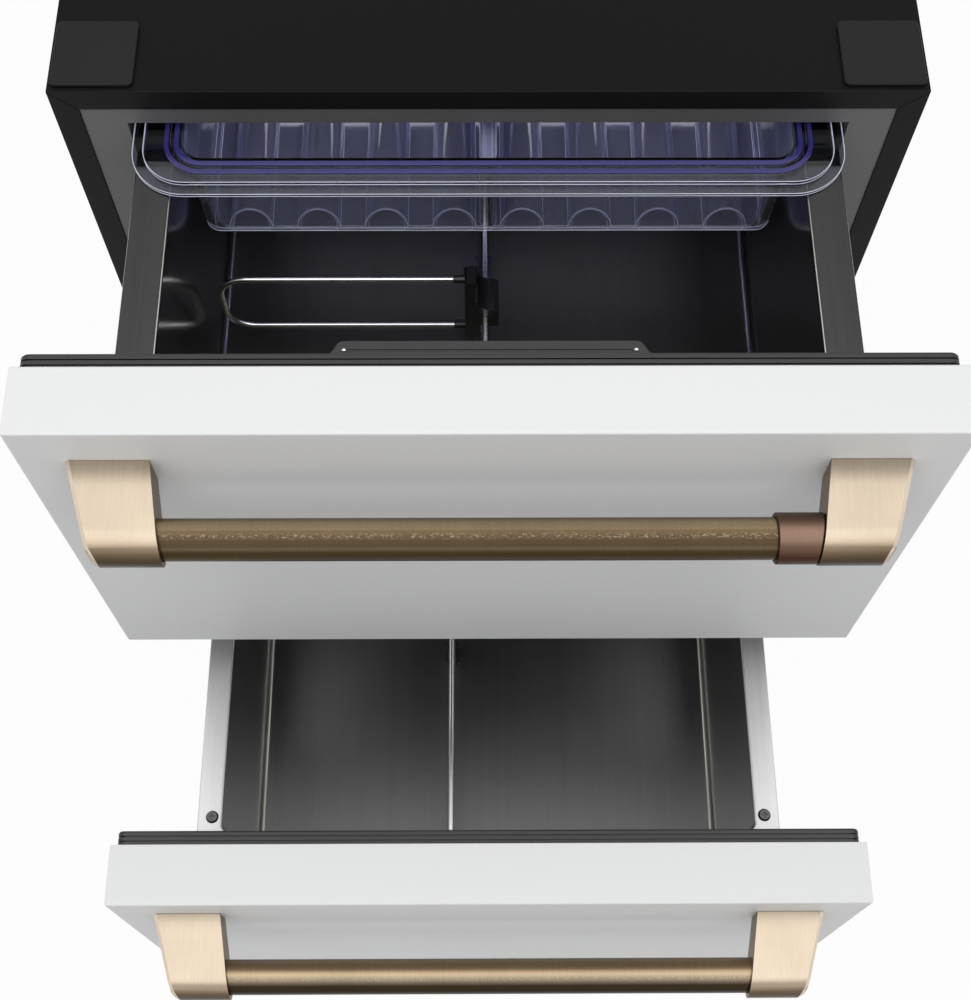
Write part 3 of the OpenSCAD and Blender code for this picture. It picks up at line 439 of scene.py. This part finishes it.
def sharpEdges(mesh, degrees):
    return [edge for edge in mesh.edges if len(edge.link_faces) == 2
            and edge.calc_face_angle(0) > math.radians(degrees)]


def roundEdges(mesh, width, segments, pick=None):
    sharp = [edge for edge in sharpEdges(mesh, meshLook["roundFrom"]) if not pick or pick(edge)]
    bevelEdges(mesh, sharp, width, segments)


def boxMesh(size, middle):
    mesh = bmesh.new()
    bmesh.ops.create_cube(mesh, size=1.0)
    bmesh.ops.scale(mesh, vec=size, verts=mesh.verts)
    bmesh.ops.translate(mesh, vec=middle, verts=mesh.verts)
    return mesh


def roundUprights(mesh, radius, segments):
    # the four corners of a box, seen from above
    upright = [edge for edge in mesh.edges
               if abs(edge.verts[0].co.z - edge.verts[1].co.z) > edge.calc_length() / 2]
    bevelEdges(mesh, upright, radius, segments)


def dress(node, finish, width=0.0, segments=2):
    # a softened copy of a CAD node takes its place
    mesh = mergedCopy(node)
    if width:
        roundEdges(mesh, width, segments)
    addPiece(mesh, node + "_soft", nodes[node]["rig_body"], finish, (node,))


def keep(node, finish):
    nodes[node].data.materials.clear()
    nodes[node].data.materials.append(finishes[finish])


cabinetLook = {
    # finish, width of the edges' rounding and its segments
    "wrapper": ("shell", 0.00056, 2),
    "frame_top": ("border", 0.0005, 2),
    "frame_sides": ("border", 0.0005, 2),
    "frame_bottom": ("border", 0.0005, 2),
    "corner_pads": ("pad", 0.0012, 3),
    "mullion": ("liner", 0.0008, 2),
    "back_panel": ("shell", 0.0003, 1),
    "kick_grille": ("border", 0.0003, 1),
    "leg_front_left": ("nylon", 0.0015, 2),
    "leg_front_right": ("nylon", 0.0015, 2),
    "leg_back_left": ("nylon", 0.0015, 2),
    "leg_back_right": ("nylon", 0.0015, 2),
    "cord_gland": ("nylon", 0.0006, 2),
}
cabinetKept = {
    "liner": "liner", "foam_insulation": "foam", "base_pan": "galvanised", "duct_cover": "duct",
    "lamp": "lamp", "slide_outers": "railDark",
}

for node, look in cabinetLook.items():
    dress(node, *look)
for node, finish in cabinetKept.items():
    keep(node, finish)
print("cabinet dressed")


coolingLook = {
    "compressor": ("shell", 0.002, 2),
    "condenser_fan_motor": ("galvanised", 0.0006, 1),
    "drain_pan": ("nylon", 0.0008, 2),
    "control_box": ("duct", 0.002, 2),
}
coolingKept = {
    "condenser": "shell", "condenser_fan": "nylon", "evaporator": "fins",
    "evaporator_fan": "nylon", "evaporator_fan_motor": "galvanised",
    "refrigerant_lines": "bareCopper",
}

for node, look in coolingLook.items():
    dress(node, *look)
for node, finish in coolingKept.items():
    keep(node, finish)
print("cooling system dressed")


binLook = {
    "sheet": 0.0012, "innerHalf": 0.220, "frontFlange": 0.007, "rearFlange": 0.022,
    "faceGap": 0.0005, "hem": 0.0068,
    # radius and segments of each bend
    "corner": (0.0065, 6), "foot": (0.0055, 4), "lip": (0.0022, 3), "turn": (0.0014, 2),
    "near": 0.0001, "nearTop": 0.001,  # how close counts as lying on the tub's edge or top
    "lipBand": 0.00242,  # faces this close to the top have the lip's finish
    "bend": (0.3, 0.85), "level": 0.97,  # upward part of the normal on a bend and on the floor
}


def binTub(low, high, frontY, backY):
    # an open box with rounded corners and foot
    look = binLook
    size = (look["innerHalf"] * 2, backY - frontY, high.z - low.z - look["sheet"])
    mesh = boxMesh(size, (0, (frontY + backY) / 2, (high.z + low.z + look["sheet"]) / 2))
    lid = [face for face in mesh.faces if face.normal.z > 0.5]
    bmesh.ops.delete(mesh, geom=lid, context="FACES_ONLY")
    roundUprights(mesh, *look["corner"])
    base = min(vert.co.z for vert in mesh.verts) + look["near"]
    foot = [edge for edge in mesh.edges if max(vert.co.z for vert in edge.verts) < base]
    bevelEdges(mesh, foot, *look["foot"])
    return mesh


def binFlange(mesh, low, high, frontY, backY):
    # the rim goes out to the flange's edge, where the round corners become square
    look = binLook
    half, radius, near = look["innerHalf"], look["corner"][0], look["near"]
    rim = [edge for edge in mesh.edges if edge.is_boundary]
    spread = bmesh.ops.extrude_edge_only(mesh, edges=rim)
    for vert in spread["geom"]:
        if not isinstance(vert, bmesh.types.BMVert):
            continue
        x, y = abs(vert.co.x), vert.co.y
        straight = frontY + radius - near < y < backY - radius + near
        inCorner = x > half - radius + near and not straight
        if inCorner or x > half - near:
            vert.co.x = math.copysign(high.x, vert.co.x)
        if inCorner or not frontY + near < y < backY - near:
            vert.co.y = low.y if y < (frontY + backY) / 2 else high.y
    bmesh.ops.remove_doubles(mesh, verts=mesh.verts, dist=near / 10)


def binHem(mesh, high):
    # the sides' outer edges turn down, then the lip and the hem get their bends
    look = binLook
    reach = high.x - look["near"]
    outer = [edge for edge in mesh.edges
             if edge.is_boundary and min(abs(vert.co.x) for vert in edge.verts) > reach]
    drop = bmesh.ops.extrude_edge_only(mesh, edges=outer)
    hem = [vert for vert in drop["geom"] if isinstance(vert, bmesh.types.BMVert)]
    bmesh.ops.translate(mesh, vec=(0, 0, -look["hem"]), verts=hem)

    def onTop(edge):
        return min(vert.co.z for vert in edge.verts) > high.z - look["nearTop"]

    def onLip(edge):
        return abs(edge.verts[0].co.x) < look["innerHalf"] + look["nearTop"] and onTop(edge)

    roundEdges(mesh, *look["lip"], onLip)
    roundEdges(mesh, *look["turn"], onTop)


def binShell(which):
    look = binLook
    low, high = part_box(which + "_bin")
    frontY = low.y - look["faceGap"] + look["frontFlange"]
    backY = high.y - look["rearFlange"]
    mesh = binTub(low, high, frontY, backY)
    binFlange(mesh, low, high, frontY, backY)
    binHem(mesh, high)
    bmesh.ops.recalc_face_normals(mesh, faces=mesh.faces)
    floor, wall, lip, bend, outside = range(5)
    # floor, wall and lip take their own tones of one steel as painted shade and light, and the bend
    # faces a lighter tone as a painted highlight
    for face in mesh.faces:
        face.material_index = wall
        if look["bend"][0] < abs(face.normal.z) < look["bend"][1]:
            face.material_index = bend
        elif face.calc_center_median().z > high.z - look["lipBand"]:
            face.material_index = lip
        elif abs(face.normal.z) > look["level"]:
            face.material_index = floor
    bmesh.ops.solidify(mesh, geom=mesh.faces[:], thickness=look["sheet"])
    skin = look["sheet"] / 2
    for face in mesh.faces:
        spot = face.calc_center_median()
        inside = (abs(spot.x) <= look["innerHalf"] + skin and spot.z >= low.z + skin
                  and frontY - skin < spot.y < backY + skin)
        below = spot.z < high.z - look["hem"]
        if below and not inside and face.material_index in (floor, wall):
            face.material_index = outside
    tones = (which + "Floor", which + "Wall", which + "Lip", "binBendHighlight", "binOutside")
    addPiece(mesh, which + "BinShell", which + "_drawer", tones, (which + "_bin",))


capLook = {
    "chamfer": 0.0026, "edge": (0.0006, 2),
    "inner": 0.222,  # the chamfer stays farther out than this from the drawer's middle
    "backBand": 0.002,  # and this far off the drawer's front
    "sharpFrom": 35.0, "sideways": 0.6,
}


def handleCaps(which):
    # the outer side has a broad chamfer, toned lighter as a painted highlight, every other edge a
    # fine one; the side faces take their own painted shade
    look = capLook
    node = which + "_handle_caps"
    low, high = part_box(node)
    mesh = mergedCopy(node)
    top, side, chamfer = range(3)
    for face in mesh.faces:
        face.material_index = side if abs(face.normal.x) > look["sideways"] else top
    outer = [edge for edge in sharpEdges(mesh, look["sharpFrom"])
             if min(abs(vert.co.x) for vert in edge.verts) > look["inner"]
             and min(vert.co.y for vert in edge.verts) < high.y - look["backBand"]]
    band = bevelEdges(mesh, outer, look["chamfer"], 1, clamp=False)
    for face in band["faces"]:
        face.material_index = chamfer
    roundEdges(mesh, *look["edge"])
    addPiece(mesh, node + "_soft", which + "_drawer",
             ("bronzeCap", "capSide", "capEdge"), (node,))


frontLook = {
    "panel_skin": ("enamel", 0.0009, 2),
    "inner_liner": ("charcoal", 0.0006, 1),
    "gasket": ("gasket", 0.0008, 2),
}
drawerLook = {
    "bin_screws": ("screw", 0.00012, 1),
    "rod": ("chrome", 0.0003, 1),
    "rod_post": ("railDark", 0.0003, 1),
}
slideLook = {
    "slide_inners": ("zinc", 0.0003, 1),
    "slide_mids": ("zinc", 0.0003, 1),
}
barLook = (0.0008, 2)

for which in ("upper", "lower"):
    for piece, look in frontLook.items():
        dress(which + "_" + piece, *look)
    binShell(which)
    for piece, look in drawerLook.items():
        dress(which + "_" + piece, *look)
    dress(which + "_handle_bar", which + "Bar", *barLook)
    handleCaps(which)
    for piece, look in slideLook.items():
        dress(which + "_" + piece, *look)
    keep(which + "_panel_foam", "foam")
    keep(which + "_slide_cages", "zinc")
print("drawers dressed")


fittingLook = {
    "handle_sleeve": ("copper", 0.0012, 3),
    "control_housing": ("housing", 0.0016, 3),
    "divider_clip": ("nylon", 0.0009, 2),
    "divider_loop": ("chrome",),
}

for node, look in fittingLook.items():
    dress(node, *look)


trayLook = {
    "flange": 0.0058, "halfWidth": 0.216, "halfLength": 0.120, "rimReach": 0.0008,
    "frontBand": 0.012,
    "lineRadius": 0.00026, "lineSides": 5, "lineFrom": 40.0,
    "outline": 0.012, "deep": 0.05,  # lines lie this far outside the tub, or this low in it
    "beads": ((0.0006, 0.0036), (0.0078, 0.0034)),  # distance from the tub and width
    "beadHigh": 0.0009, "beadSoft": (0.00054, 2), "corner": 0.016, "cornerSegments": 10,
}


def beyondTub(spot, middle):
    # how far a point lies outside the tub, across and along
    return abs(spot.x) - trayLook["halfWidth"], abs(spot.y - middle) - trayLook["halfLength"]


def trayShell():
    # nearly clear walls, a clearer flange and front
    look = trayLook
    low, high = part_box("tray")
    middle = (low.y + high.y) / 2
    mesh = mergedCopy("tray")
    wall, front, flange, rim = range(4)
    for face in mesh.faces:
        face.material_index = wall
        if min(vert.co.z for vert in face.verts) > high.z - look["flange"]:
            reach = max(max(beyondTub(vert.co, middle)) for vert in face.verts)
            face.material_index = rim if reach < look["rimReach"] else flange
        elif face.calc_center_median().y < middle - look["halfLength"] + look["frontBand"]:
            face.material_index = front
    addPiece(mesh, "trayShell", "tray",
             ("trayWall", "trayFront", "trayFlange", "trayRim"), ("tray",))


def trayPaintedGlintLines():
    # thin glowing lines along the moulding's crisp edges: painted highlights for the light that
    # clear plastic edges catch
    look = trayLook
    low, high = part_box("tray")
    middle = (low.y + high.y) / 2
    source = mergedCopy("tray")
    mesh = bmesh.new()
    for edge in sharpEdges(source, look["lineFrom"]):
        first, last = (vert.co for vert in edge.verts)
        spot = (first + last) / 2
        if max(beyondTub(spot, middle)) <= look["outline"] and spot.z >= low.z + look["deep"]:
            continue
        along = last - first
        turn = along.to_track_quat("Z", "Y").to_matrix().to_4x4()
        bmesh.ops.create_cone(mesh, cap_ends=False, segments=look["lineSides"],
                              radius1=look["lineRadius"], radius2=look["lineRadius"],
                              depth=along.length, matrix=Matrix.Translation(spot) @ turn)
    source.free()
    addPiece(mesh, "trayPaintedGlintLines", "tray", "trayEdge")


def trayBeads():
    # two raised lines round the tub, deep blue where the eye looks along the plastic
    look = trayLook
    low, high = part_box("tray")
    mesh = bmesh.new()
    for inside, wide in look["beads"]:
        reach = inside + wide
        size = ((look["halfWidth"] + reach) * 2, (look["halfLength"] + reach) * 2,
                look["beadHigh"] * 2)
        ring = boxMesh(size, (0, (low.y + high.y) / 2, high.z))
        roundUprights(ring, look["corner"] + reach, look["cornerSegments"])
        below = [face for face in ring.faces if face.normal.z < -0.5]
        bmesh.ops.delete(ring, geom=below, context="FACES_ONLY")
        lid = [face for face in ring.faces if face.normal.z > 0.5]
        bmesh.ops.inset_region(ring, faces=lid, thickness=wide, use_even_offset=True)
        bmesh.ops.delete(ring, geom=lid, context="FACES_ONLY")
        roundEdges(ring, *look["beadSoft"])
        data = bpy.data.meshes.new("bead")
        ring.to_mesh(data)
        ring.free()
        mesh.from_mesh(data)
        bpy.data.meshes.remove(data)
    addPiece(mesh, "trayBeads", "tray", "trayBead")


trayShell()
trayPaintedGlintLines()
trayBeads()
print("tray dressed")


pinLook = {"radius": 0.0018, "inset": 0.0145, "back": 0.0072, "sunk": 0.0004}


def housingPins():
    # a bright pin shows at each end of the housing's slot
    look = pinLook
    low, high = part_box("control_housing")
    mesh = bmesh.new()
    for side in (-1, 1):
        spot = ((high.x - look["inset"]) * side, high.y - look["back"], high.z - look["sunk"])
        bmesh.ops.create_uvsphere(mesh, u_segments=16, v_segments=8, radius=look["radius"],
                                  matrix=Matrix.Translation(spot))
    addPiece(mesh, "housingPins", "upper_drawer", "chrome")


housingPins()
print("fittings dressed")


studio = {
    "eye": (-0.0087, -0.69635, 1.6912), "turn": (24.749, -0.226, -0.260), "lens": 54.29,
    "sensor": 36.0,
    "sky": 0.3, "floor": (0.6, 0.6, 0.6), "floorRough": 0.9, "floorHalf": 6.0,
    "floorDrop": 0.0004, "floorGlow": 0.965,
    # the room is white to the camera, and to rays that metal mirrors or clear plastic carries on
    "whiteRays": ("Is Camera Ray", "Is Glossy Ray", "Is Transmission Ray"),
}
softboxes = {
    "topSoftbox": {"glow": 1.6, "size": (4.4, 3.6), "at": (0.0, -0.7, 3.1), "aim": (0, -0.2, 0.5)},
    "frontFill": {"glow": 0.48, "size": (3.4, 1.8), "at": (0.0, -3.4, 1.3), "aim": (0, -0.3, 0.4)},
    # light under the cabinet's ceiling, which falls into the tray
    "bayStrip": {"glow": 3.2, "size": (0.4, 0.03), "at": (0, 0.15, 0.8396), "aim": (0, 0.14, 0.5)},
}


def softbox(name, glow, size, at, aim):
    # a panel that shines with the stated brightness, where 1 is white
    lamp = bpy.data.lights.new(name, "AREA")
    lamp.shape = "RECTANGLE"
    lamp.size, lamp.size_y = size
    lamp.energy = glow * math.pi * size[0] * size[1]
    holder = bpy.data.objects.new(name, lamp)
    holder.location = at
    holder.rotation_euler = (Vector(aim) - Vector(at)).to_track_quat("-Z", "Y").to_euler()
    bpy.context.scene.collection.objects.link(holder)


def studioFloor():
    mesh = bmesh.new()
    bmesh.ops.create_grid(mesh, x_segments=1, y_segments=1, size=studio["floorHalf"])
    bmesh.ops.translate(mesh, vec=(0, 0, -studio["floorDrop"]), verts=mesh.verts)
    data = bpy.data.meshes.new("studioFloor")
    mesh.to_mesh(data)
    mesh.free()
    floor = bpy.data.objects.new("studioFloor", data)
    bpy.context.scene.collection.objects.link(floor)
    made = Finish("paleFloor", base_color=studio["floor"], roughness=studio["floorRough"])
    glow = made.node("ShaderNodeEmission", {}, {"Color": (1, 1, 1)})
    plain = Value(made, made.shader.outputs[0])
    share = made.seenBy(studio["whiteRays"]) * studio["floorGlow"]
    mixed = made.node("ShaderNodeMixShader", {}, {0: share, 1: plain, 2: glow})
    made.shown(mixed, "Material Output")
    data.materials.append(made.material)


def studioSky():
    world = bpy.data.worlds.new("paleRoom")
    bpy.context.scene.world = world
    world.use_nodes = True
    room = Network(world.node_tree)
    back = room.tree.nodes["Background"]
    back.inputs["Color"].default_value = (1, 1, 1, 1)
    back.inputs["Strength"].default_value = studio["sky"]
    light = Value(room, back.outputs[0])
    white = room.node("ShaderNodeBackground", {}, {"Color": (1, 1, 1), "Strength": 1.0})
    share = room.seenBy(studio["whiteRays"])
    mixed = room.node("ShaderNodeMixShader", {}, {0: share, 1: light, 2: white})
    room.shown(mixed, "World Output")


for name, look in softboxes.items():
    softbox(name, **look)
studioFloor()
studioSky()

lens = bpy.data.cameras.new("photoCamera")
lens.lens = studio["lens"]
lens.sensor_width = studio["sensor"]
camera = bpy.data.objects.new("photoCamera", lens)
camera.location = studio["eye"]
camera.rotation_euler = [math.radians(angle) for angle in studio["turn"]]
bpy.context.scene.collection.objects.link(camera)
bpy.context.scene.camera = camera
bpy.context.scene.view_settings.view_transform = "Standard"
print("studio ready")
